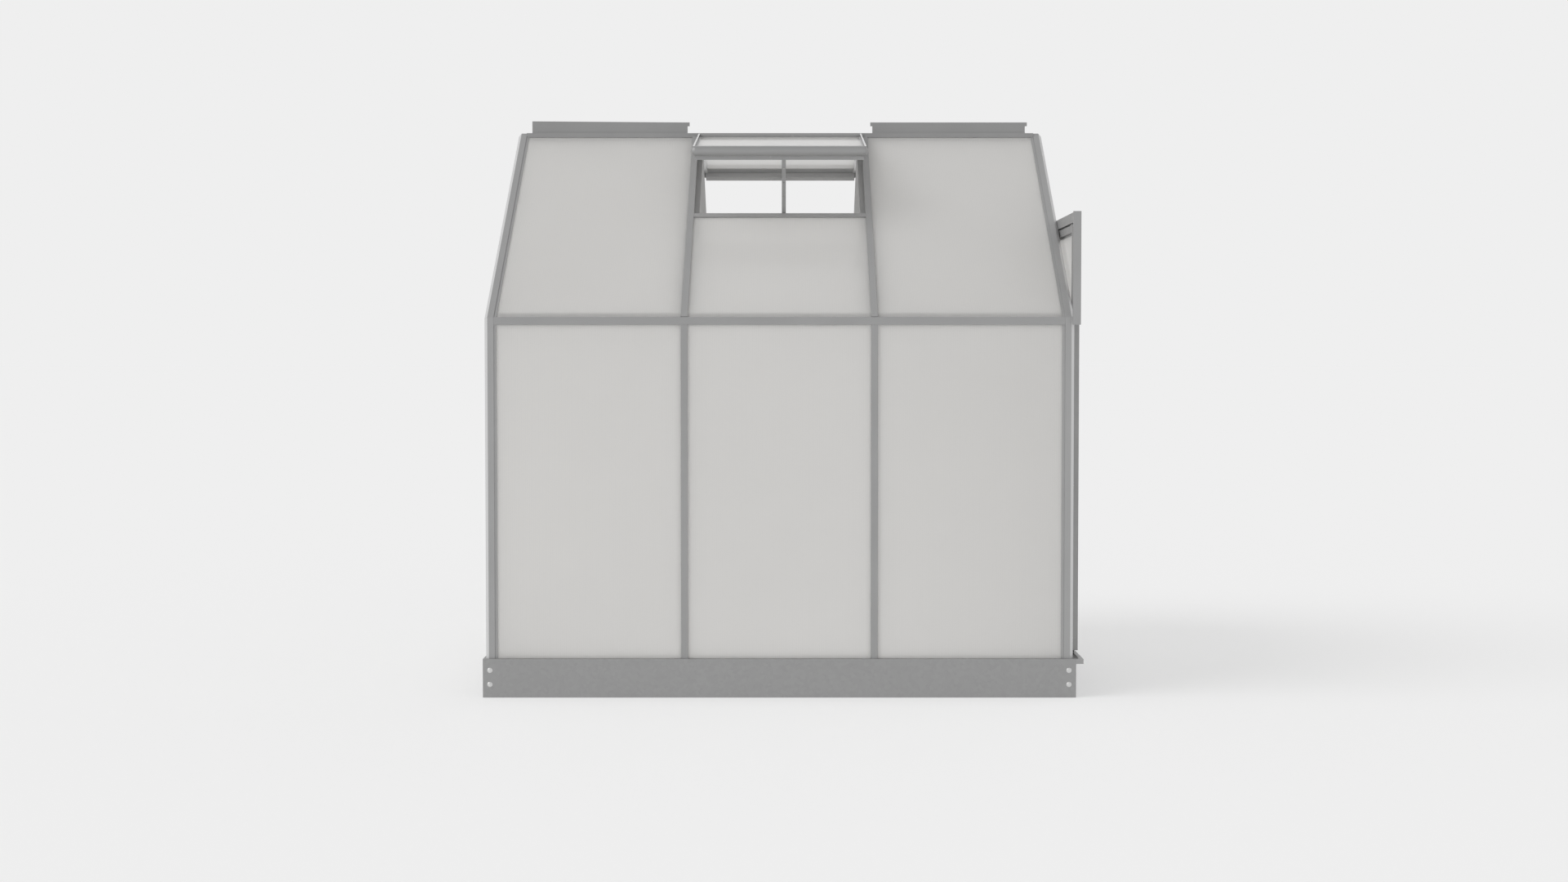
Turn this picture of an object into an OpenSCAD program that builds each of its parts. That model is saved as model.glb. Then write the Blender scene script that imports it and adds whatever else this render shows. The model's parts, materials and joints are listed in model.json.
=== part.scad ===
// Walk-in aluminium greenhouse with a pitched roof, two roof vents and a sliding gable door.
// +X runs along the ridge towards the door, +Y across it, +Z up. The origin is on the ground,
// under the middle of the footprint. Everything is drawn with the door slid open and both
// vents propped open.

/* [Footprint] */
// Length along the ridge, outside the base
base_len = 1930; // [1900:1:1960]
// Width across the ridge, outside the base
base_wid = 1930; // [1900:1:1960]
// Height of the steel base
base_h = 126; // [120:1:135]
// Base sheet thickness
base_t = 2; // [1.5:0.1:2.5]
// Width of the base's inward flanges
base_flange = 30; // [25:1:34]

/* [Frame] */
// How far the frame stands inside the base
frame_in = 9; // [8:0.5:10]
// Height of the eaves
eaves_z = 1237; // [1200:1:1260]
// Height of the ridge
ridge_z = 1926; // [1900:1:1940]
// Distance between the glazing bars
bay = 617.2; // [612:0.2:622]
// Face width of the glazing bars
bar_w = 22; // [20:1:24]
// Wall thickness of the aluminium sections
skin = 2; // [1.8:0.1:2.2]
// Depth of the wall bars
wall_bar_d = 26; // [24:1:28]
// Depth of the roof bars
roof_bar_d = 45; // [40:1:46]
// Half width of the roof bars' inner flange
roof_flange = 27.6; // [5:0.2:28]
// Visible height of the eaves rail
eaves_face = 25; // [24:1:28]

/* [Glazing] */
// Thickness of the polycarbonate sheets
glass_t = 4; // [3.8:0.1:4.1]

/* [Roof vents] */
// Slope of the open front vent below the horizontal
front_slope = 10.5; // [10:0.1:11]
// Slope of the open rear vent below the horizontal
rear_slope = 8.9; // [8.4:0.1:9.4]
// Length of a vent from its hinge to the back of its nose
vent_len = 531; // [528:1:533]
// Height of the vent frames
vent_h = 34; // [33:1:35]
// Centre of the vent stays along the ridge
stay_x = 14.2; // [0:0.2:40]
// Width of a vent stay
stay_w = 14; // [10:1:15]

/* [Door] */
// Width of the door leaf
door_w = 620; // [616:1:626]
// Underside of the door leaf
door_z0 = 140; // [138:1:142]
// Top of the door leaf
door_z1 = 1540; // [1538:1:1541]
// Thickness of the door leaf
door_t = 24; // [22:1:25]
// How far the door stands open
door_open = 545; // [0:1:600]
// Width of a door stile
stile_w = 30; // [26:1:34]
// Radius of the door rollers
roller_r = 9; // [8:0.5:9.5]

/* [Ridge caps] */
// Height of the upright ridge caps
cap_h = 40; // [30:1:50]
// Length of a cap
cap_len = 573; // [560:1:580]
// Height of the caps' top hem
cap_hem = 13; // [10:1:15]

/* [Hidden] */
$fn = 48;

half_x = base_len / 2;
half_y = base_wid / 2;
// Outer faces of the frame, on the long walls and on the gables
fx = half_x - frame_in;
fy = half_y - frame_in;
pitch = atan((ridge_z - eaves_z) / fy);
mitre = (90 - pitch) / 2;
far = 2500;
gap = 0.2;
slack = 0.3;

// Corner section: bevel, main leg, then a recessed flange that holds the sheet
bevel = 10;
leg = 30;
corner_w = 39;
recess = 3;
// Sheets lie between these depths behind a face
glass_y = 5.6;
ledge_y = glass_y + glass_t + slack;
ledge_t = 1.5;
web_t = 2.4;
bar_x = bay / 2;
sheet_in = web_t / 2 + slack;

// Base
bolt_in = 23;
bolt_z = [43, 89];
bolt_r = 3;
bolt_hole_r = 3.1;
head_r = 8.5;
head_h = 3.2;
bracket_w = 45;
anchor_x = 870;
anchor_in = 17;
anchor_r = 4.5;

// Ridge
ridge_y = 15;
ridge_lip_z = ridge_z - 15.7;
ridge_web = 1.5;
ridge_foot_z = ridge_z - 67.5;
ridge_foot_y = 11;
ridge_end = fx - leg - 0.4;
ridge_web_end = fx - corner_w - 2;

// Roof, measured down the slope from the apex
roof_top_u = 14;
roof_end_u = (fy + glass_y * sin(pitch) - recess - skin - 0.6) / cos(pitch);
rafter_end_u = fy / cos(pitch) + 20;
bar_end_u = (fy - skin - 0.5) / cos(pitch);
bar_web_end_u = roof_end_u - 35;
sill_u = 547.5;

// Vent hinge
hinge_y = 22;
hinge_z = ridge_z - 9;
hinge_r = 3;
bore_r = 3.05;
vent_top = -6.8;
vent_x = 297;
vent_ledge = 9.2;
vent_foot_ledge = 68;
nose_r = vent_h / 2;
nose_x = 303;
flange_drop = 13.8;
flange_x = 289.5;
web_w = vent_len - 16;

// Vent stay: pivot on the vent, and one of two slots over a peg on the sill
stay_w0 = vent_len - 23;
stay_d0 = 34;
peg_u = 543.5;
peg_d = 20;
peg_y = peg_u * cos(pitch) - peg_d * sin(pitch);
peg_z = ridge_z - peg_u * sin(pitch) - peg_d * cos(pitch);
function pivot_y(slope) = hinge_y + stay_w0 * cos(slope) - stay_d0 * sin(slope);
function pivot_z(slope) = hinge_z - stay_w0 * sin(slope) - stay_d0 * cos(slope);
function reach(slope) = norm([pivot_y(slope) - peg_y, pivot_z(slope) - peg_z]);
function lean(slope) = atan2(pivot_y(slope) - peg_y, pivot_z(slope) - peg_z);
stay_t = 3;
slot_half = 4.5;
slide_off = 7;

// Door and tracks
door_y = -door_open;
door_x = fx + 4.5;
track_x = fx + 0.3;
track_w = 18;
track_z = 1578;
track_h = 32;
track_y0 = -(fy + 1);
track_y1 = 330;
slot_x0 = 6;
slot_w = 6;
rail_x1 = 989;
rail_h = 16;
rib_x = 971;
roller_y = 250;
hanger_half = 14;
// Furthest the door slides past its open place
over_open = 62;
roller_z = track_z - track_h + skin + 0.2 + roller_r;
door_rails_z = [[door_z0, 72], [676, 28], [894, 28], [door_z1 - 30, 30]];
door_screw_z = [176, 690, 908, door_z1 - 15];
header_z = 1556;
gable_rail_z = eaves_z - eaves_face / 2;
peak_z = ridge_z - (leg + gap) / cos(pitch);

alu = "#9a9b9b";
alu_dark = "#858686";
steel = "#929393";
zinc = "#d8d8d6";
sheet = "#cfcfcc";
nylon = "#4a4b4c";

// ---- placement ----

// Local x along a wall, y inwards from its face, z up
module on_front() translate([0, -fy, 0]) children();
module on_left() translate([-fx, 0, 0]) rotate([0, 0, -90]) children();
module on_right() translate([fx, 0, 0]) rotate([0, 0, 90]) children();
module to_rear() mirror([0, 1, 0]) children();
// Local x along the ridge, y inwards from the front slope, z up the slope from the apex
module on_roof() translate([0, 0, ridge_z]) rotate([pitch - 90, 0, 0]) children();
// The same on an open vent, from its hinge line
module on_vent(slope) translate([0, -hinge_y, hinge_z]) rotate([slope - 90, 0, 0]) children();
module both_x() {
    children();
    mirror([1, 0, 0]) children();
}
module both_y() {
    children();
    mirror([0, 1, 0]) children();
}
// Everything above the plane that lies depth under the front slope
module over_roof(depth) on_roof() translate([-far, -far, -far]) cube([2 * far, far + depth, 2 * far]);
module over_mitre() translate([0, -fy, eaves_z]) rotate([-mitre, 0, 0])
    translate([-far, -far, -0.1]) cube([2 * far, 2 * far, far]);
module under_mitre() translate([0, -fy, eaves_z]) rotate([-mitre, 0, 0])
    translate([-far, -far, -far + 0.1]) cube([2 * far, 2 * far, far]);
module slab(x0, x1, y0, y1, z0, z1) translate([x0, y0, z0]) cube([x1 - x0, y1 - y0, z1 - z0]);

// ---- sections ----

// Glazing bar: capped face with lips, web, sheet ledge and an inner flange
module bar_section(depth, flange = 5) {
    translate([-bar_w / 2, 0]) square([bar_w, skin]);
    for (x = [-bar_w / 2, bar_w / 2 - 1.6]) translate([x, 0]) square([1.6, glass_y - slack]);
    translate([-web_t / 2, 0]) square([web_t, depth]);
    translate([-8, ledge_y]) square([16, ledge_t]);
    translate([-flange, depth - skin]) square([2 * flange, skin]);
}

// Channel for the sheet, at the end of one leg of the corner section
module corner_channel() {
    translate([leg - skin, skin / 2]) square([skin, ledge_y + ledge_t - skin / 2]);
    translate([leg - skin, recess]) square([corner_w - leg + skin, skin]);
    translate([leg - skin, ledge_y]) square([corner_w - leg, ledge_t]);
}

// Both legs and the bevel between them, then a channel on each
module corner_section() {
    inner = bevel + skin * tan(22.5);
    polygon([[bevel, 0], [leg, 0], [leg, skin], [inner, skin],
             [skin, inner], [skin, leg], [0, leg], [0, bevel]]);
    corner_channel();
    mirror([1, -1, 0]) corner_channel();
}

// ---- base ----

module bolt_holes() for (x = [-half_x + bolt_in, half_x - bolt_in], z = bolt_z)
    translate([x, -1, z]) rotate([-90, 0, 0]) cylinder(r = bolt_hole_r, h = 10);

module base_rail(web_x, flange_x, anchors = false) difference() {
    union() {
        slab(-web_x, web_x, 0, base_t, 0, base_h);
        for (z = [0, base_h - base_t])
            slab(-flange_x, flange_x, base_t / 2, base_flange + base_t, z, z + base_t);
    }
    bolt_holes();
    if (anchors) for (x = [-anchor_x, anchor_x]) translate([x, anchor_in, -1]) cylinder(r = anchor_r, h = 4);
}

module base_long() color(steel) translate([0, -half_y, 0])
    base_rail(half_x, half_x - base_t - base_flange - gap, true);
module base_short() color(steel) base_rail(half_y - base_t, half_y - base_t);
module base_front() base_long();
module base_rear() to_rear() base_long();
module base_left() translate([-half_x, 0, 0]) rotate([0, 0, -90]) base_short();
module base_right() translate([half_x, 0, 0]) rotate([0, 0, 90]) base_short();

module base_bracket() translate([-half_x + base_t, -half_y + base_t, 8]) difference() {
    union() {
        cube([bracket_w, base_t, 110]);
        cube([base_t, bracket_w, 110]);
    }
    for (z = bolt_z) {
        translate([bolt_in - base_t, -1, z - 8]) rotate([-90, 0, 0]) cylinder(r = bolt_hole_r, h = 5);
        translate([-1, bolt_in - base_t, z - 8]) rotate([0, 90, 0]) cylinder(r = bolt_hole_r, h = 5);
    }
}
module base_brackets() color(zinc) both_x() both_y() base_bracket();

// Domed bolt, shank towards +y, with its nut behind the bracket
module base_bolt() {
    dome_r = (head_r * head_r + head_h * head_h) / (2 * head_h);
    rotate([-90, 0, 0]) {
        intersection() {
            translate([0, 0, dome_r - head_h]) sphere(r = dome_r);
            translate([0, 0, -head_h - 1]) cylinder(r = head_r, h = head_h + 1);
        }
        translate([0, 0, -0.1]) cylinder(r = bolt_r, h = 12.1);
    }
}
module base_nut() translate([0, 2 * base_t, 0]) rotate([-90, 0, 0]) difference() {
    cylinder(r = 5.8, h = 5, $fn = 6);
    translate([0, 0, -1]) cylinder(r = bolt_hole_r, h = 7);
}
module base_bolts() color(zinc) both_x() both_y() for (z = bolt_z) {
    translate([-half_x + bolt_in, -half_y, z]) {
        base_bolt();
        base_nut();
    }
    translate([-half_x, -half_y + bolt_in, z]) rotate([0, 0, -90]) {
        base_bolt();
        base_nut();
    }
}

// ---- posts, rails and bars ----

module corner_post() color(alu) difference() {
    translate([-fx, -fy, base_h]) linear_extrude(eaves_z - base_h + 5) corner_section();
    over_mitre();
}
module post_front_left() corner_post();
module post_front_right() mirror([1, 0, 0]) corner_post();
module post_rear_left() to_rear() corner_post();
module post_rear_right() to_rear() mirror([1, 0, 0]) corner_post();

module eaves_rail() color(alu) on_front() {
    end = fx - corner_w - 0.5;
    low = eaves_z - eaves_face;
    slab(-fx + leg + slack, fx - leg - slack, 0, skin, low, eaves_z);
    slab(-end, end, skin / 2, 31, low + 10, low + 12);
    slab(-end, end, ledge_y + ledge_t, ledge_y + ledge_t + skin, low, low + 11);
    slab(-end, end, 29, 31, low + 11, low + 33);
}
module eaves_rail_front() eaves_rail();
module eaves_rail_rear() to_rear() eaves_rail();

module wall_bars() color(alu) difference() {
    for (x = [-bar_x, bar_x]) translate([x, -fy, base_h])
        linear_extrude(eaves_z - eaves_face - base_h + 9.7) bar_section(wall_bar_d);
    slab(-far, far, -far, -fy + ledge_y + ledge_t + skin + slack, eaves_z - eaves_face - slack, far);
}
module wall_bars_front() wall_bars();
module wall_bars_rear() to_rear() wall_bars();

// Upright bars in a gable, cut off under both rafters
module gable_bars() color(alu) difference() {
    for (x = [-bar_x, bar_x]) translate([x, 0, base_h])
        linear_extrude(ridge_z - base_h) bar_section(wall_bar_d);
    rotate([0, 0, 90]) both_y() over_roof(corner_w + slack);
}
module gable_bars_left() on_left() gable_bars();
module door_jambs() on_right() gable_bars();

// Level bar between two places along a wall, centred on height z
module cross_bar(x0, x1, z) translate([x0, 0, z]) rotate([90, 0, 90])
    linear_extrude(x1 - x0) rotate([0, 0, -90]) mirror([1, 0]) bar_section(wall_bar_d);
module gable_side_rail() difference() {
    cross_bar(bar_x + bar_w / 2 + gap, fy - corner_w - gap, gable_rail_z);
    rotate([0, 0, 90]) over_roof(corner_w + slack);
}
module gable_rails_left() color(alu) on_left() {
    cross_bar(-bar_x + bar_w / 2 + gap, bar_x - bar_w / 2 - gap, gable_rail_z);
    both_x() gable_side_rail();
}
module gable_rails_right() color(alu) on_right() both_x() gable_side_rail();
module door_header() color(alu) on_right()
    cross_bar(-bar_x + bar_w / 2 + gap, bar_x - bar_w / 2 - gap, header_z);

// Room that the ridge takes at the top of the bars
module ridge_room(end) {
    slab(-end, end, -ridge_y - 0.4, ridge_y + 0.4, ridge_lip_z - 0.5, far);
    slab(-end, end, -ridge_web - 0.4, far, -far, far);
}

module end_rafter() color(alu) difference() {
    on_roof() translate([-fx, 0, -rafter_end_u]) linear_extrude(rafter_end_u + 60) corner_section();
    under_mitre();
    ridge_room(fx - leg);
    slab(-far, far, -0.1, far, -far, far);
}
module rafter_front_left() end_rafter();
module rafter_front_right() mirror([1, 0, 0]) end_rafter();
module rafter_rear_left() to_rear() end_rafter();
module rafter_rear_right() to_rear() mirror([1, 0, 0]) end_rafter();

module roof_bars() color(alu) difference() {
    for (x = [-bar_x, bar_x]) on_roof() translate([x, 0, -bar_end_u])
        linear_extrude(bar_end_u + 60) bar_section(roof_bar_d, roof_flange);
    on_roof() slab(-far, far, glass_y - slack, far, -far, -bar_web_end_u);
    ridge_room(far);
}
module roof_bars_front() roof_bars();
module roof_bars_rear() to_rear() roof_bars();

// Ridge: box head with side lips, web and foot, and lugs for the vent hinge rods
module ridge() color(alu_dark) {
    slab(-ridge_end, ridge_end, -ridge_y, ridge_y, ridge_z - 2.5, ridge_z);
    both_y() slab(-ridge_end, ridge_end, -ridge_y, -ridge_y + skin, ridge_lip_z, ridge_z);
    slab(-ridge_web_end, ridge_web_end, -ridge_web, ridge_web, ridge_foot_z, ridge_z - 1);
    slab(-ridge_web_end, ridge_web_end, -ridge_foot_y, ridge_foot_y, ridge_foot_z, ridge_foot_z + 2.5);
    both_x() both_y() translate([vent_x + 1.2, 0, 0]) difference() {
        union() {
            slab(0, 6, -hinge_y, -ridge_y + 0.5, hinge_z, hinge_z + 5);
            translate([0, -hinge_y, hinge_z]) rotate([0, 90, 0]) cylinder(r = 5, h = 6);
        }
        translate([-1, -hinge_y, hinge_z]) rotate([0, 90, 0]) cylinder(r = bore_r, h = 8);
    }
}

module vent_hinge_rods() color(zinc) both_y() translate([-nose_x - 1, -hinge_y, hinge_z])
    rotate([0, 90, 0]) cylinder(r = hinge_r, h = 2 * nose_x + 2);

// Upright cap on a foot, with a hem along its top that stands out at the ends
module ridge_cap(hem_out, extra) color(alu_dark) {
    x0 = bay - cap_len / 2 + 7.5;
    x1 = bay + cap_len / 2 - 7.5;
    translate([0, 5, 0]) rotate([90, 0, 0]) linear_extrude(10) {
        polygon([[x0, ridge_z + 1], [x1 + (hem_out > 0 ? 0 : 10), ridge_z + 1],
                 [x1 + (hem_out > 0 ? 0 : 10), ridge_z + cap_h + extra], [x0, ridge_z + cap_h]]);
        translate([x0 - 7.5, ridge_z + cap_h - cap_hem]) square([20, cap_hem]);
        if (hem_out > 0) translate([x1 - 10, ridge_z + cap_h - cap_hem]) square([17.5, cap_hem]);
    }
    slab(x0, x1, -13, 13, ridge_z, ridge_z + 2);
}
module ridge_cap_right() ridge_cap(7.5, 0);
module ridge_cap_left() mirror([1, 0, 0]) ridge_cap(0, 4);

// ---- roof openings ----

module vent_sill() color(alu) on_roof() {
    end = bar_x - bar_w / 2 - gap;
    translate([-end, 0, 0]) rotate([90, 0, 90]) linear_extrude(2 * end) {
        translate([0, -sill_u - bar_w]) square([skin, bar_w]);
        translate([0, -sill_u - bar_w]) square([glass_y - slack, 1.6]);
        translate([0, -sill_u - skin]) square([14, skin]);
        translate([0, -sill_u - bar_w / 2 - 1]) square([24, skin]);
        translate([ledge_y, -sill_u - bar_w + 1]) square([ledge_t, bar_w / 2]);
    }
}
module vent_sills() both_y() vent_sill();

// Peg for the stay, held on the inside of the sill
module stay_peg() color(zinc) {
    on_roof() slab(stay_x - 7, stay_x + 7, 3, 14.5, -sill_u + gap, -sill_u + 2.1);
    translate([stay_x, -peg_y, peg_z]) rotate([-slide_off, 0, 0]) {
        slab(-7, 7, -6.9, -4.2, -5, 3);
        translate([0, -6, 0]) rotate([-90, 0, 0]) cylinder(r = 2.2, h = 11);
    }
}
module stay_pegs() both_y() stay_peg();

// ---- corner gussets ----

module gusset_outline() {
    translate([-fy + 6, eaves_z - 127]) square([32, 114]);
    translate([0, ridge_z]) rotate(pitch) translate([-1165, -27]) square([95, 22]);
}
gusset_bolt_at = [[-fy + 22, eaves_z - 110], [-fy + 22, eaves_z - 50]];
function on_rafter(u, d) = [-u * cos(pitch) + d * sin(pitch), ridge_z - u * sin(pitch) - d * cos(pitch)];
gusset_bolts_at = concat(gusset_bolt_at, [on_rafter(1140, 16), on_rafter(1085, 16)]);
gusset_x = ledge_y + ledge_t + gap;

module at_gusset_bolts() for (p = gusset_bolts_at) translate([-fx + gusset_x, p[0], p[1]])
    rotate([0, 90, 0]) children();
module gusset() difference() {
    translate([-fx + gusset_x, 0, 0]) rotate([90, 0, 90]) linear_extrude(skin) gusset_outline();
    at_gusset_bolts() translate([0, 0, -1]) cylinder(r = 3.3, h = 5);
}
module gussets() color(zinc) both_x() both_y() gusset();
module gusset_bolts() color(zinc) both_x() both_y() at_gusset_bolts() {
    translate([0, 0, skin]) cylinder(r = 5.8, h = 4, $fn = 6);
    translate([0, 0, -5]) cylinder(r = bolt_r, h = 7.1);
}

// ---- glazing ----

wall_sheet_x = fx - leg - gap;
sheet_z0 = base_h + slack;

module wall_glazing() color(sheet) on_front() {
    top = eaves_z - eaves_face + 9.5;
    slab(-bar_x + sheet_in, bar_x - sheet_in, glass_y, glass_y + glass_t, sheet_z0, top);
    both_x() slab(bar_x + sheet_in, wall_sheet_x, glass_y, glass_y + glass_t, sheet_z0, top);
}
module wall_glazing_front() wall_glazing();
module wall_glazing_rear() to_rear() wall_glazing();

module roof_glazing() color(sheet) on_roof() {
    slab(-bar_x + sheet_in, bar_x - sheet_in, glass_y, glass_y + glass_t,
         -roof_end_u, -sill_u - bar_w / 2 - 1 - slack);
    both_x() slab(bar_x + sheet_in, wall_sheet_x, glass_y, glass_y + glass_t, -roof_end_u, -roof_top_u);
}
module roof_glazing_front() roof_glazing();
module roof_glazing_rear() to_rear() roof_glazing();

// Upright sheet in a gable, from an outline of (across, height)
module gable_sheet(points) translate([0, glass_y + glass_t, 0]) rotate([90, 0, 0])
    linear_extrude(glass_t) polygon(points);
function under_rafter(y) = peak_z - y * tan(pitch);
side_y0 = bar_x + sheet_in;
rail_gap = sheet_in;
module gable_side_sheets() both_x() {
    outer = fy - leg - gap;
    top = gable_rail_z - rail_gap;
    low = gable_rail_z + rail_gap;
    toe = (peak_z - low) / tan(pitch) - 1;
    gable_sheet([[side_y0, sheet_z0], [outer, sheet_z0], [outer, under_rafter(outer)],
                 [(peak_z - top) / tan(pitch), top], [side_y0, top]]);
    gable_sheet([[side_y0, low], [toe, low], [side_y0, under_rafter(side_y0)]]);
}
module gable_middle_sheet(low) {
    y = bar_x - sheet_in;
    gable_sheet([[-y, low], [y, low], [y, under_rafter(y)], [0, peak_z], [-y, under_rafter(y)]]);
}
module gable_glazing_left() color(sheet) on_left() {
    y = bar_x - sheet_in;
    gable_side_sheets();
    gable_middle_sheet(gable_rail_z + rail_gap);
    slab(-y, y, glass_y, glass_y + glass_t, sheet_z0, gable_rail_z - rail_gap);
}
module gable_glazing_right() color(sheet) on_right() {
    gable_side_sheets();
    gable_middle_sheet(header_z + rail_gap);
}

// ---- door tracks ----

module track_top() color(alu) difference() {
    slab(track_x, track_x + track_w, track_y0, track_y1, track_z - track_h, track_z);
    slab(track_x + skin, track_x + track_w - skin, -far, far, track_z - track_h + skin, track_z - skin);
    slab(track_x + slot_x0, track_x + slot_x0 + slot_w, -far, far, 0, track_z - track_h + 3);
}
module track_support() color(alu) difference() {
    slab(track_x - 7.3, track_x + track_w, -fy - 13, -fy - 1.2, eaves_z - eaves_face, track_z);
    slab(track_x - 5.3, track_x + track_w - skin, -fy - 11, -fy, 0, track_z - skin);
}
module track_bottom() color(alu) difference() {
    union() {
        slab(half_x + slack, rail_x1, -half_y, track_y1, base_h - rail_h, base_h);
        slab(rib_x, rib_x + skin, -half_y, track_y1, base_h - 1, base_h + 5);
    }
    slab(half_x + slack + skin, rail_x1 - skin, -half_y + skin, track_y1 - skin, 0, base_h - skin);
}
module track_stops() {
    end = roller_y + hanger_half + 4;
    color(nylon) for (y = [-door_open - over_open - end - 10, end])
        slab(track_x + skin + gap, track_x + track_w - skin - gap, y, y + 10,
             track_z - track_h + skin + gap, track_z - skin - gap);
}

// ---- door leaf ----

module in_door() translate([door_x, door_y, 0]) children();
glass_x0 = 9.6;

// Tube across the door's thickness with a groove for the sheet on its +y side
module stile_section() {
    difference() {
        square([door_t, stile_w - 10]);
        translate([skin, skin]) square([door_t - 2 * skin, stile_w - 10 - 2 * skin]);
    }
    for (x = [glass_x0 - 2.2, glass_x0 + glass_t + 0.4])
        translate([x, stile_w - 10 - skin / 2]) square([1.8, 10 + skin / 2]);
}
module door_stiles() color(alu) in_door() both_y() translate([0, -door_w / 2, door_z0])
    linear_extrude(door_z1 - door_z0) stile_section();

// Rail of height h, grooved on the sides that hold a sheet
module door_rail(h, low_groove, high_groove) rotate([90, 0, 0])
    linear_extrude(door_w - 2 * stile_w + 20 - 2 * gap, center = true) {
    y0 = low_groove ? 7 : 0;
    y1 = high_groove ? h - 7 : h;
    difference() {
        translate([0, y0]) square([door_t, y1 - y0]);
        translate([skin, y0 + skin]) square([door_t - 2 * skin, y1 - y0 - 2 * skin]);
    }
    for (x = [glass_x0 - 2.2, glass_x0 + glass_t + 0.4]) {
        if (low_groove) translate([x, 0]) square([1.8, 8]);
        if (high_groove) translate([x, y1 - 1]) square([1.8, 8]);
    }
}
rail_cut = 10 + gap;
module door_rails() color(alu) in_door() for (i = [0:3]) difference() {
    translate([0, 0, door_rails_z[i][0]]) door_rail(door_rails_z[i][1], i > 0, i < 3);
    both_y() slab(glass_x0 - 2.5, glass_x0 + glass_t + 2.5, -door_w / 2 + stile_w - rail_cut,
                  -door_w / 2 + stile_w + gap, 0, far);
}

module door_glazing() color(sheet) in_door() for (i = [0:2]) {
    low = door_rails_z[i][0] + door_rails_z[i][1] - 6;
    slab(glass_x0, glass_x0 + glass_t, -door_w / 2 + stile_w - 9, door_w / 2 - stile_w + 9,
         low, door_rails_z[i + 1][0] + 6);
}

// Two screws at the end of each rail, on the edges of the leaf
module door_screws() color(zinc) in_door() both_y() for (z = door_screw_z, dz = [-5.2, 5.2])
    translate([5.5, -door_w / 2 - 1.6, z + dz]) rotate([-90, 0, 0]) intersection() {
        cylinder(r = 2.8, h = 1.6);
        translate([0, 0, 3.25]) sphere(r = 3.4);
    }

module door_hangers() color(zinc) in_door() both_y() difference() {
    x0 = track_x + slot_x0 + 1.7 - door_x;
    union() {
        slab(x0, x0 + 3, -roller_y - hanger_half, -roller_y + hanger_half, door_z1, roller_z + 7);
        slab(x0, x0 + 17, -roller_y - hanger_half, -roller_y + hanger_half, door_z1, door_z1 + 2);
    }
    translate([x0 - 1, -roller_y, roller_z]) rotate([0, 90, 0]) cylinder(r = 2.55, h = 5);
}

// Pair of wheels on one axle, running on both lips of the top track
module roller() color(nylon) translate([track_x + skin + 0.6, 0, roller_z]) rotate([0, 90, 0]) {
    cylinder(r = roller_r, h = 4);
    translate([0, 0, 9]) cylinder(r = roller_r, h = 4);
    cylinder(r = 2.5, h = 13);
}
module roller_near() translate([0, door_y - roller_y, 0]) roller();
module roller_far() translate([0, door_y + roller_y, 0]) roller();

module door_glides() color(nylon) translate([0, door_y, 0]) both_y() difference() {
    slab(rib_x - 5, rib_x + 7, -roller_y - 16, -roller_y + 16, base_h + 1, door_z0);
    slab(rib_x - 0.5, rib_x + skin + 0.5, -far, far, 0, base_h + 6);
}

module door_handle() color(nylon) in_door() translate([door_t, door_w / 2 - stile_w + 16, 960]) {
    for (z = [0, 108]) slab(0, 9, -7, 7, z, z + 12);
    slab(8, 12, -7, 7, 0, 120);
}

// ---- roof vents ----

// Side rail in the vent's own frame: x across, y inwards, z up the vent
module vent_side_rail() difference() {
    union() {
        slab(vent_x - 2, vent_x, vent_top, vent_top + vent_h, -vent_len + 0.5, 0);
        slab(vent_x - 5.8, vent_x, vent_top, vent_top + skin, -vent_len + 0.5, 0);
        slab(vent_x - 14, vent_x, vent_ledge, vent_ledge + skin, -web_w + 0.5, -14.3);
        slab(vent_x - 10, vent_x - 1, vent_ledge - 5.9, vent_ledge - 4.4, -web_w + 0.5, -14.3);
        translate([vent_x - 5.8, 0, 0]) rotate([0, 90, 0]) cylinder(r = 6.5, h = 5.8);
    }
    translate([vent_x - 10, 0, 0]) rotate([0, 90, 0]) cylinder(r = bore_r, h = 12);
}

module vent_top_rail() difference() {
    union() {
        translate([-291, 0, 0]) rotate([0, 90, 0]) cylinder(r = 6, h = 582);
        slab(-291, 291, 4, vent_ledge + skin, -5, -3);
        slab(-291, 291, vent_ledge, vent_ledge + skin, -14, -3);
        slab(-291, 291, vent_ledge - 5.9, vent_ledge - 4.4, -12, -3);
    }
    translate([-far, 0, 0]) rotate([0, 90, 0]) cylinder(r = bore_r, h = 2 * far);
}
// Strip under the bottom rail, with ears and the pin for the stay
module vent_stay_strip() {
    low = vent_top + vent_h;
    slab(-flange_x, flange_x, low + 0.05, low + flange_drop, -web_w - skin, -web_w);
    for (x = [stay_x - stay_w / 2 - 3.2, stay_x + stay_w / 2 + 0.4]) translate([x, stay_d0, -stay_w0]) {
        rotate([0, 90, 0]) cylinder(r = 4, h = 2.8);
        slab(0, 2.8, -4, 4, -7.5, 0);
    }
    translate([stay_x - stay_w / 2 - 3.2, stay_d0, -stay_w0]) rotate([0, 90, 0])
        cylinder(r = 2, h = stay_w + 6.4);
}
module vent_frame(slope) color(alu) on_vent(slope) {
    vent_top_rail();
    both_x() vent_side_rail();
    vent_stay_strip();
}
module vent_frame_front() vent_frame(front_slope);
module vent_frame_rear() to_rear() vent_frame(rear_slope);

module capsule(r) both_x() {
    rotate([0, 90, 0]) cylinder(r = r, h = nose_x - nose_r);
    translate([nose_x - nose_r, 0, 0]) sphere(r = r);
}
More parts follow.
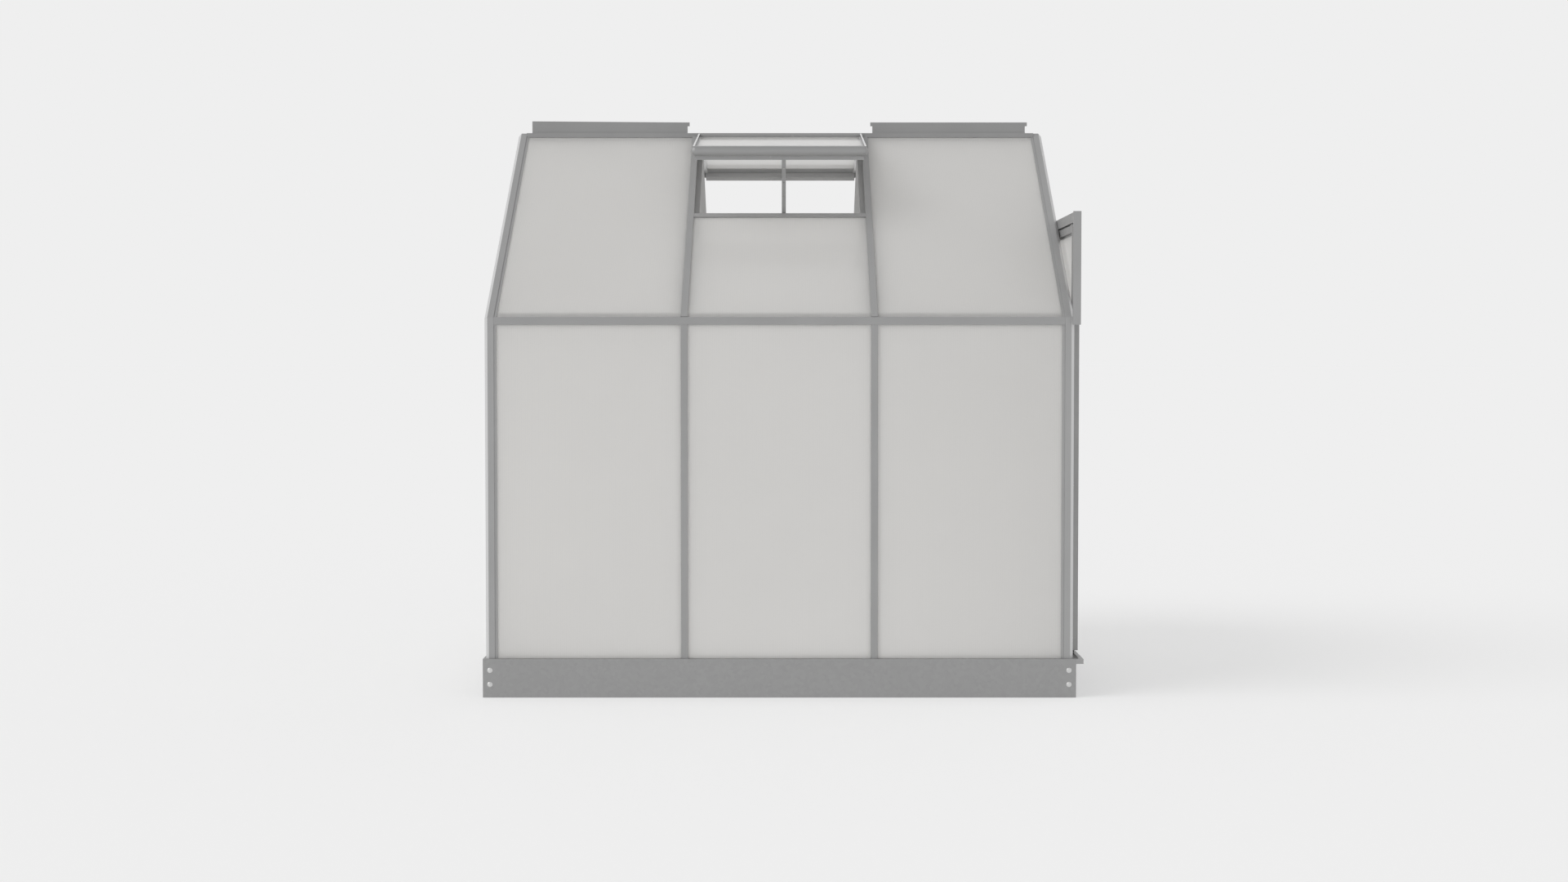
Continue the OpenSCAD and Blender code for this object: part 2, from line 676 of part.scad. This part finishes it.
// Rounded nose with a box behind it that holds the sheet
module vent_bottom_rail(slope) color(alu_dark) on_vent(slope) {
    low = vent_top + vent_h;
    translate([0, vent_top + nose_r, -vent_len]) difference() {
        capsule(nose_r);
        slab(-far, far, -far, far, 0, far);
        difference() {
            capsule(nose_r - 2);
            slab(-far, far, -far, far, -1.6, far);
        }
    }
    slab(-290.8, 290.8, vent_top, vent_top + skin, -vent_len - 1, -web_w);
    slab(-290.8, 290.8, low - skin, low, -vent_len - 1, -web_w);
    slab(-290.8, 290.8, vent_top, low, -web_w - skin, -web_w);
    slab(-282.8, 282.8, vent_ledge, vent_ledge + skin, -web_w - 1, -web_w + vent_foot_ledge);
    slab(-282.8, 282.8, vent_ledge - 5.9, vent_ledge - 4.4, -web_w - 1, -web_w + 8);
}
module vent_bottom_rail_front() vent_bottom_rail(front_slope);
module vent_bottom_rail_rear() to_rear() vent_bottom_rail(rear_slope);

module vent_glazing(slope) color(sheet) on_vent(slope)
    slab(-vent_x + 2.3, vent_x - 2.3, vent_ledge - gap - glass_t, vent_ledge - gap, -web_w + gap, -5.4);
module vent_glazing_front() vent_glazing(front_slope);
module vent_glazing_rear() to_rear() vent_glazing(rear_slope);

// Flat stay: eye at the top, spare holes, and a slot for each vent's opening, so both are alike
module vent_stay(slope) color(alu) translate([stay_x, -pivot_y(slope), pivot_z(slope)])
    rotate([lean(slope), 0, 0]) difference() {
    union() {
        translate([-stay_w / 2, 0, 0]) rotate([0, 90, 0]) cylinder(r = 4, h = stay_w);
        slab(-stay_w / 2, stay_w / 2, -stay_t / 2, stay_t / 2, -reach(rear_slope) - 10, 0);
    }
    translate([-far, 0, 0]) rotate([0, 90, 0]) cylinder(r = 2.05, h = 2 * far);
    for (open_slope = [front_slope, rear_slope])
        slab(-2.8, 2.8, -far, far, -reach(open_slope) - slot_half, -reach(open_slope) + slot_half);
    for (z = [40, 90, 140]) translate([0, -far, -z]) rotate([-90, 0, 0]) cylinder(r = 2.5, h = 2 * far);
}
module vent_stay_front() vent_stay(front_slope);
module vent_stay_rear() to_rear() vent_stay(rear_slope);

base_front();
base_rear();
base_left();
base_right();
base_brackets();
base_bolts();
post_front_left();
post_front_right();
post_rear_left();
post_rear_right();
eaves_rail_front();
eaves_rail_rear();
wall_bars_front();
wall_bars_rear();
gable_bars_left();
door_jambs();
door_header();
gable_rails_left();
gable_rails_right();
rafter_front_left();
rafter_front_right();
rafter_rear_left();
rafter_rear_right();
roof_bars_front();
roof_bars_rear();
ridge();
ridge_cap_left();
ridge_cap_right();
vent_sills();
stay_pegs();
vent_hinge_rods();
gussets();
gusset_bolts();
wall_glazing_front();
wall_glazing_rear();
gable_glazing_left();
gable_glazing_right();
roof_glazing_front();
roof_glazing_rear();
track_top();
track_bottom();
track_support();
track_stops();
door_stiles();
door_rails();
door_glazing();
door_screws();
door_hangers();
door_glides();
door_handle();
roller_near();
roller_far();
vent_frame_front();
vent_bottom_rail_front();
vent_glazing_front();
vent_stay_front();
vent_frame_rear();
vent_bottom_rail_rear();
vent_glazing_rear();
vent_stay_rear();
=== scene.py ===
"""Looks for the walk-in greenhouse: materials, studio floor, light and camera."""
import json
import math

import bpy
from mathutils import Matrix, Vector


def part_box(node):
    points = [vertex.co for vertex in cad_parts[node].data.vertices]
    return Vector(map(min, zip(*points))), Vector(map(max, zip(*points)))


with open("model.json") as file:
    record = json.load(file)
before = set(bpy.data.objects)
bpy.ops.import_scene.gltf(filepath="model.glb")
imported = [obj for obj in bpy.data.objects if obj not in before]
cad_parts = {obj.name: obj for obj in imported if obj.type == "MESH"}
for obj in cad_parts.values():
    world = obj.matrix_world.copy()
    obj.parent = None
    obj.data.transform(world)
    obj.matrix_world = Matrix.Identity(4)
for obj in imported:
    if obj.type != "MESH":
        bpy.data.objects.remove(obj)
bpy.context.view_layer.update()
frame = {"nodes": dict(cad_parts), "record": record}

nodes = frame["nodes"]
slot_of = {part["node"]: part["material_slot"] for part in frame["record"]["subparts"]}
scene = bpy.context.scene

# Half width and half depth of the frame, its eaves and its ridge, in metres
HOUSE_X, HOUSE_Y, EAVES_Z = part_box("post_rear_right")[1]
RIDGE_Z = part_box("ridge")[1][2]
PITCH = math.atan2(RIDGE_Z - EAVES_Z, HOUSE_Y)

# Metals: a level is a linear grey, and a scale is in noise cells per metre
# The lighter level of the extrusions that run along y, such as the rafters, is painted light
FRAME_LEVELS_WITH_PAINTED_LIGHT = (0.35, 0.41, 0.35)  # extrusions that run along x, y and z
# The posts' lighter level is painted light
POST_LEVEL_WITH_PAINTED_LIGHT = 0.375
VENT_FRAME_LEVEL = 0.37
VENT_FRAME_ROUGHNESS = 0.22
VENT_LEVEL = 0.345
RIDGE_LEVEL = 0.325
TRACK_LEVEL = 0.36
STEEL_LEVEL = 0.34
ZINC_LEVEL = 0.68
# These two levels are painted light: frame faces inside the house and vent faces that look back at the
# ridge get a lighter grey that stands in for bounce light
INSIDE_PAINTED_LIGHT_LEVEL = 0.5
VENT_BACK_PAINTED_LIGHT_LEVEL = 0.68
INSIDE_DEPTH = 0.012
ALUMINIUM_METALLIC = 0.3
ALUMINIUM_ROUGHNESS = 0.4
DIE_LINE_SCALE = 2200.0
DIE_RUN_SCALE = 6.0
CLOUD_SCALE = 5.0
SCUFF_SCALE = 38.0
STEEL_METALLIC = 0.4
STEEL_ROUGHNESS = 0.46
SPANGLE_SCALE = 95.0
STAIN_SCALE = 3.0
ZINC_METALLIC = 0.5
ZINC_ROUGHNESS = 0.34
ZINC_TINT = (1, 1, 0.985)
PLATING_SCALE = 120.0
# Faces given a painted highlight, a lighter grey: axis, size of the normal along it, how near to that,
# level
BEVEL_HIGHLIGHT_FACES = (0, 0.707, 0.12, 0.62)
LEVEL_HIGHLIGHT_FACES = (2, 0.985, 0.02, 0.7)

# Nylon
NYLON_LEVELS = (0.022, 0.034)
NYLON_ROUGHNESS = (0.5, 0.62)
NYLON_GRAIN_SCALE = 900.0
NYLON_CLOUD_SCALE = 40.0

# Twin-wall sheet: through is the share of light that passes, and a rib stands at each flute's side
SHEET_LEVEL = 0.93
SHEET_THROUGH = 0.66
# The vent sheets' lighter level is a painted reflection, standing in for the sky's grazing reflection
VENT_SHEET_LEVEL_WITH_REFLECTION = 0.95
VENT_SHEET_THROUGH = 0.42
SHEET_TINT = (1.0, 0.995, 0.985)
SHEET_ROUGHNESS = (0.14, 0.2)
SHEET_IOR = 1.45
COAT_ROUGHNESS = 0.08
COAT_IOR = 1.9
FLUTE = 0.0062
RIB_SHARE = 0.16
SHEET_CLOUD_SCALE = 1.6
DUST_SCALE = 14.0

BUMP_DISTANCE = 0.0002

# Studio: the sky is white up to HORIZON_TOP and fades to ZENITH at SKY_TOP, as heights on a unit sphere
STUDIO_WHITE = 0.863
ZENITH = 0.5
HORIZON_TOP = 0.25
SKY_TOP = 0.9
FLOOR_HALF = 300.0
FLOOR_ALBEDO = 0.55
FLOOR_GLOW = 0.4125
SUN_STRENGTH = 0.9
SUN_WIDTH = math.radians(42)
SUN_TOWARDS = (1.0, 0.35, -0.95)
LENS = 50.0
SENSOR = 36.0
VIEW_LIMIT = 2000.0
CAMERA_AT = (0.0148, -8.015, 1.104)
CAMERA_DIP = 2.18


# ---- node helpers ----

def new_material(name):
    """A node material with a Principled shader on its output; returns it, its tree and the shader."""
    material = bpy.data.materials.new(name)
    material.use_nodes = True
    tree = material.node_tree
    tree.nodes.clear()
    output = tree.nodes.new("ShaderNodeOutputMaterial")
    shader = tree.nodes.new("ShaderNodeBsdfPrincipled")
    tree.links.new(shader.outputs["BSDF"], output.inputs["Surface"])
    return material, tree, shader


def object_coords(tree, stretch=(1, 1, 1)):
    """Object coordinates, scaled along each axis so that a pattern can run along one of them."""
    coords = tree.nodes.new("ShaderNodeTexCoord")
    mapping = tree.nodes.new("ShaderNodeMapping")
    mapping.inputs["Scale"].default_value = stretch
    tree.links.new(coords.outputs["Object"], mapping.inputs["Vector"])
    return mapping.outputs["Vector"]


def noise(tree, vector, scale, detail=3.0, roughness=0.55):
    texture = tree.nodes.new("ShaderNodeTexNoise")
    texture.inputs["Scale"].default_value = scale
    texture.inputs["Detail"].default_value = detail
    texture.inputs["Roughness"].default_value = roughness
    tree.links.new(vector, texture.inputs["Vector"])
    return texture.outputs["Fac"]


def spread(tree, value, low, high):
    """Maps the middle of a noise value to the range from low to high."""
    ramp = tree.nodes.new("ShaderNodeMapRange")
    ramp.inputs["From Min"].default_value = 0.3
    ramp.inputs["From Max"].default_value = 0.7
    ramp.inputs["To Min"].default_value = low
    ramp.inputs["To Max"].default_value = high
    tree.links.new(value, ramp.inputs["Value"])
    return ramp.outputs["Result"]


def maths(tree, operation, *values):
    """One Math node on sockets and numbers."""
    node = tree.nodes.new("ShaderNodeMath")
    node.operation = operation
    for socket, value in zip(node.inputs, values):
        if isinstance(value, bpy.types.NodeSocket):
            tree.links.new(value, socket)
        else:
            socket.default_value = value
    return node.outputs["Value"]


def split_xyz(tree, vector):
    split = tree.nodes.new("ShaderNodeSeparateXYZ")
    tree.links.new(vector, split.inputs["Vector"])
    return split.outputs


def mix_colours(tree, factor, first, second):
    mix = tree.nodes.new("ShaderNodeMix")
    mix.data_type = "RGBA"
    tree.links.new(factor, mix.inputs["Factor"])
    for socket, colour in ((mix.inputs["A"], first), (mix.inputs["B"], second)):
        if isinstance(colour, bpy.types.NodeSocket):
            tree.links.new(colour, socket)
        else:
            socket.default_value = (*colour, 1)
    return mix.outputs["Result"]


def add_bump(tree, shader, height, strength):
    bump = tree.nodes.new("ShaderNodeBump")
    bump.inputs["Strength"].default_value = strength
    bump.inputs["Distance"].default_value = BUMP_DISTANCE
    tree.links.new(height, bump.inputs["Height"])
    tree.links.new(bump.outputs["Normal"], shader.inputs["Normal"])


def grey(level, tint=(1, 1, 1)):
    return tuple(level * t for t in tint)


# ---- masks ----

def facing(tree, axis, centre, width):
    """1 on faces whose normal has a size near centre along an axis, and 0 past width from it."""
    coords = tree.nodes.new("ShaderNodeTexCoord")
    normal = split_xyz(tree, coords.outputs["Normal"])
    return maths(tree, "COMPARE", maths(tree, "ABSOLUTE", normal["XYZ"[axis]]), centre, width)


# Mask for painted light: the frame inside the house gets a lighter grey that stands in for bounce light
def inside_house(tree):
    """1 on what lies further than INSIDE_DEPTH inside the walls and the roof, and 0 outside."""
    coords = tree.nodes.new("ShaderNodeTexCoord")
    place = split_xyz(tree, coords.outputs["Object"])
    across = [maths(tree, "ABSOLUTE", place[axis]) for axis in "XY"]
    from_gable = maths(tree, "SUBTRACT", HOUSE_X, across[0])
    from_wall = maths(tree, "SUBTRACT", HOUSE_Y, across[1])
    drop = maths(tree, "SUBTRACT", RIDGE_Z, place["Z"])
    below_ridge = maths(tree, "MULTIPLY", drop, math.cos(PITCH))
    from_roof = maths(tree, "SUBTRACT", below_ridge, maths(tree, "MULTIPLY", across[1], math.sin(PITCH)))
    nearest = maths(tree, "MINIMUM", maths(tree, "MINIMUM", from_gable, from_wall), from_roof)
    return maths(tree, "GREATER_THAN", nearest, INSIDE_DEPTH)


# Mask for painted light: vent faces that look back at the ridge get a lighter grey
def towards_ridge(tree):
    """1 on the faces of a vent that look back at the ridge, and 0 on the others."""
    coords = tree.nodes.new("ShaderNodeTexCoord")
    place = split_xyz(tree, coords.outputs["Object"])
    normal = split_xyz(tree, coords.outputs["Normal"])
    return maths(tree, "LESS_THAN", maths(tree, "MULTIPLY", place["Y"], normal["Y"]), -0.2)


# ---- materials ----

def extruded_metal(name, level, along, rough=ALUMINIUM_ROUGHNESS, highlight=None, painted_light=None):
    """Mill-finish extrusion: faint die lines along one axis, cloudy tone and handling marks.

    The fifth argument is (axis, centre, width, level) for faces given a painted highlight, and the sixth
    is (mask, level) for faces given a lighter grey as painted light, which stands in for light that
    bounces about inside.
    """
    material, tree, shader = new_material(name)
    shader.inputs["Metallic"].default_value = ALUMINIUM_METALLIC
    lines = [DIE_LINE_SCALE] * 3
    lines[along] = DIE_RUN_SCALE
    die = noise(tree, object_coords(tree, lines), 1.0, 2.0, 0.5)
    cloud = noise(tree, object_coords(tree), CLOUD_SCALE, 4.0)
    tone = mix_colours(tree, spread(tree, cloud, 0, 1), grey(level * 0.96), grey(level * 1.04))
    colour = mix_colours(tree, spread(tree, die, 0, 0.5), tone, grey(level * 0.9))
    # Painted light: a lighter grey on the masked faces
    if painted_light:
        mask, painted_light_level = painted_light
        colour = mix_colours(tree, mask(tree), colour, grey(painted_light_level))
    # Painted highlight: a lighter grey on the faces picked by their normal
    if highlight:
        axis, centre, width, highlight_level = highlight
        colour = mix_colours(tree, facing(tree, axis, centre, width), colour, grey(highlight_level))
    tree.links.new(colour, shader.inputs["Base Color"])
    scuff = noise(tree, object_coords(tree), SCUFF_SCALE, 5.0, 0.6)
    tree.links.new(spread(tree, scuff, rough - 0.05, rough + 0.07), shader.inputs["Roughness"])
    add_bump(tree, shader, die, 0.12)
    return material


def galvanised(name):
    """Hot-dip zinc on sheet steel: crystalline spangle with faint stains."""
    material, tree, shader = new_material(name)
    shader.inputs["Metallic"].default_value = STEEL_METALLIC
    vector = object_coords(tree)
    spangle = tree.nodes.new("ShaderNodeTexVoronoi")
    spangle.inputs["Scale"].default_value = SPANGLE_SCALE
    spangle.inputs["Randomness"].default_value = 1.0
    tree.links.new(vector, spangle.inputs["Vector"])
    facet = tree.nodes.new("ShaderNodeSeparateColor")
    tree.links.new(spangle.outputs["Color"], facet.inputs["Color"])
    tone = mix_colours(tree, facet.outputs["Red"], grey(STEEL_LEVEL * 0.965), grey(STEEL_LEVEL * 1.03))
    stain = noise(tree, vector, STAIN_SCALE, 5.0)
    colour = mix_colours(tree, spread(tree, stain, 0, 0.35), tone, grey(STEEL_LEVEL * 0.93))
    tree.links.new(colour, shader.inputs["Base Color"])
    dull = spread(tree, facet.outputs["Green"], STEEL_ROUGHNESS - 0.04, STEEL_ROUGHNESS + 0.06)
    tree.links.new(dull, shader.inputs["Roughness"])
    add_bump(tree, shader, facet.outputs["Blue"], 0.05)
    return material


def zinc_plate(name):
    """Bright zinc plating on small parts, slightly cloudy."""
    material, tree, shader = new_material(name)
    shader.inputs["Metallic"].default_value = ZINC_METALLIC
    cloud = noise(tree, object_coords(tree), PLATING_SCALE)
    dark, light = grey(ZINC_LEVEL * 0.94), grey(ZINC_LEVEL * 1.05, ZINC_TINT)
    tree.links.new(mix_colours(tree, spread(tree, cloud, 0, 1), dark, light), shader.inputs["Base Color"])
    dull = spread(tree, cloud, ZINC_ROUGHNESS - 0.06, ZINC_ROUGHNESS + 0.08)
    tree.links.new(dull, shader.inputs["Roughness"])
    add_bump(tree, shader, cloud, 0.05)
    return material


def black_nylon(name):
    """Moulded nylon with a fine spark-eroded grain."""
    material, tree, shader = new_material(name)
    vector = object_coords(tree)
    grain = noise(tree, vector, NYLON_GRAIN_SCALE, 2.0)
    cloud = noise(tree, vector, NYLON_CLOUD_SCALE)
    dark, light = (grey(level) for level in NYLON_LEVELS)
    tree.links.new(mix_colours(tree, spread(tree, cloud, 0, 1), dark, light), shader.inputs["Base Color"])
    tree.links.new(spread(tree, cloud, *NYLON_ROUGHNESS), shader.inputs["Roughness"])
    add_bump(tree, shader, grain, 0.2)
    return material


def twin_wall(name, level, across, through=SHEET_THROUGH):
    """Milky twin-wall sheet: close flutes that run up the sheet, and light that comes softly through."""
    material, tree, shader = new_material(name)
    vector = object_coords(tree)
    from_rib = maths(tree, "PINGPONG", split_xyz(tree, vector)["XYZ"[across]], FLUTE / 2)
    rib = tree.nodes.new("ShaderNodeMapRange")
    rib.interpolation_type = "SMOOTHSTEP"
    rib.inputs["From Min"].default_value = 0.0
    rib.inputs["From Max"].default_value = FLUTE * RIB_SHARE
    rib.inputs["To Min"].default_value = 1.0
    rib.inputs["To Max"].default_value = 0.0
    tree.links.new(from_rib, rib.inputs["Value"])
    cloud = noise(tree, vector, SHEET_CLOUD_SCALE)
    dark, light, edge = (grey(level * share, SHEET_TINT) for share in (0.992, 1.008, 0.97))
    tone = mix_colours(tree, spread(tree, cloud, 0, 1), dark, light)
    colour = mix_colours(tree, rib.outputs["Result"], tone, edge)
    tree.links.new(colour, shader.inputs["Base Color"])
    dust = noise(tree, vector, DUST_SCALE, 5.0)
    tree.links.new(spread(tree, dust, *SHEET_ROUGHNESS), shader.inputs["Roughness"])
    shader.inputs["IOR"].default_value = SHEET_IOR
    shader.inputs["Coat Weight"].default_value = 1.0
    shader.inputs["Coat Roughness"].default_value = COAT_ROUGHNESS
    shader.inputs["Coat IOR"].default_value = COAT_IOR
    add_bump(tree, shader, rib.outputs["Result"], 0.06)
    glow = tree.nodes.new("ShaderNodeBsdfTranslucent")
    tree.links.new(colour, glow.inputs["Color"])
    mix = tree.nodes.new("ShaderNodeMixShader")
    mix.inputs["Fac"].default_value = through
    tree.links.new(shader.outputs["BSDF"], mix.inputs[1])
    tree.links.new(glow.outputs["BSDF"], mix.inputs[2])
    output = next(n for n in tree.nodes if n.type == "OUTPUT_MATERIAL")
    tree.links.new(mix.outputs["Shader"], output.inputs["Surface"])
    return material


# Painted light inside the house and on the vents' faces towards the ridge
INSIDE_FRAME = (inside_house, INSIDE_PAINTED_LIGHT_LEVEL)
INSIDE_VENT = (towards_ridge, VENT_BACK_PAINTED_LIGHT_LEVEL)
alu = {axis: extruded_metal(f"mill_aluminium_{'xyz'[axis]}", level, axis,
                            highlight=BEVEL_HIGHLIGHT_FACES, painted_light=INSIDE_FRAME)
       for axis, level in enumerate(FRAME_LEVELS_WITH_PAINTED_LIGHT)}
post_alu = extruded_metal("post_aluminium", POST_LEVEL_WITH_PAINTED_LIGHT, 2, highlight=BEVEL_HIGHLIGHT_FACES, painted_light=INSIDE_FRAME)
vent_frame_alu = extruded_metal("vent_frame_aluminium", VENT_FRAME_LEVEL, 1, rough=VENT_FRAME_ROUGHNESS,
                                highlight=LEVEL_HIGHLIGHT_FACES, painted_light=INSIDE_VENT)
ridge_alu = extruded_metal("ridge_aluminium", RIDGE_LEVEL, 0)
vent_alu = {axis: extruded_metal(f"vent_aluminium_{'xyz'[axis]}", VENT_LEVEL, axis, painted_light=INSIDE_VENT)
            for axis in range(2)}
track_alu = {axis: extruded_metal(f"track_aluminium_{'xyz'[axis]}", TRACK_LEVEL, axis)
             for axis in range(1, 3)}
steel = galvanised("galvanised_steel")
zinc = zinc_plate("zinc_plated")
nylon = black_nylon("black_nylon")
sheet_x = twin_wall("twin_wall_sheet_x", SHEET_LEVEL, 0)
sheet_y = twin_wall("twin_wall_sheet_y", SHEET_LEVEL, 1)
vent_sheet = twin_wall("twin_wall_vent_sheet", VENT_SHEET_LEVEL_WITH_REFLECTION, 0, through=VENT_SHEET_THROUGH)


def finish_for(node):
    """The finish of a node, by its material slot and the way it runs."""
    slot = slot_of[node]
    low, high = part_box(node)
    size = [high[i] - low[i] for i in range(3)]
    longest = size.index(max(size))
    if slot == "galvanised_steel":
        return steel
    if slot == "zinc_plated":
        return zinc
    if slot == "black_nylon":
        return nylon
    if node.startswith("vent_glazing"):
        return vent_sheet
    if slot == "twin_wall_sheet":
        return sheet_y if node.startswith(("gable", "door")) else sheet_x
    if slot == "ridge_aluminium":
        return ridge_alu
    if node.startswith("vent_frame"):
        return vent_frame_alu
    if slot == "vent_aluminium":
        return vent_alu[min(longest, 1)]
    if slot == "track_aluminium":
        return track_alu[max(longest, 1)]
    if node.startswith("post"):
        return post_alu
    # Sets of uprights are wider than they are tall, so their box doesn't show the way they run
    if node in ("gable_bars_left", "door_jambs", "wall_bars_front", "wall_bars_rear"):
        return alu[2]
    return alu[longest]


for node_name in nodes:
    materials = nodes[node_name].data.materials
    materials.clear()
    materials.append(finish_for(node_name))


# ---- studio ----

def studio_floor():
    half = FLOOR_HALF
    mesh = bpy.data.meshes.new("studio_floor")
    corners = [(-half, -half, 0), (half, -half, 0), (half, half, 0), (-half, half, 0)]
    mesh.from_pydata(corners, [], [(0, 1, 2, 3)])
    floor = bpy.data.objects.new("studio_floor", mesh)
    scene.collection.objects.link(floor)
    material, _, shader = new_material("studio_floor")
    shader.inputs["Base Color"].default_value = (*grey(FLOOR_ALBEDO), 1)
    shader.inputs["Emission Color"].default_value = (1, 1, 1, 1)
    shader.inputs["Emission Strength"].default_value = FLOOR_GLOW
    shader.inputs["Roughness"].default_value = 1.0
    shader.inputs["Specular IOR Level"].default_value = 0.0
    mesh.materials.append(material)


def studio_light():
    world = bpy.data.worlds.new("studio")
    world.use_nodes = True
    tree = world.node_tree
    coords = tree.nodes.new("ShaderNodeTexCoord")
    height = tree.nodes.new("ShaderNodeMapRange")
    height.interpolation_type = "SMOOTHSTEP"
    height.inputs["From Min"].default_value = HORIZON_TOP
    height.inputs["From Max"].default_value = SKY_TOP
    tree.links.new(split_xyz(tree, coords.outputs["Generated"])["Z"], height.inputs["Value"])
    sky = mix_colours(tree, height.outputs["Result"], grey(STUDIO_WHITE), grey(ZENITH))
    tree.links.new(sky, tree.nodes["Background"].inputs["Color"])
    scene.world = world
    lamp = bpy.data.lights.new("soft_key", "SUN")
    lamp.energy = SUN_STRENGTH
    lamp.angle = SUN_WIDTH
    key = bpy.data.objects.new("soft_key", lamp)
    key.rotation_euler = Vector(SUN_TOWARDS).to_track_quat("-Z", "Y").to_euler()
    scene.collection.objects.link(key)


def studio_camera():
    data = bpy.data.cameras.new("camera")
    data.lens = LENS
    data.sensor_width = SENSOR
    data.clip_end = VIEW_LIMIT
    camera = bpy.data.objects.new("camera", data)
    camera.location = CAMERA_AT
    camera.rotation_euler = (math.radians(90 - CAMERA_DIP), 0, 0)
    scene.collection.objects.link(camera)
    scene.camera = camera


studio_floor()
studio_light()
studio_camera()
scene.view_settings.view_transform = "Standard"
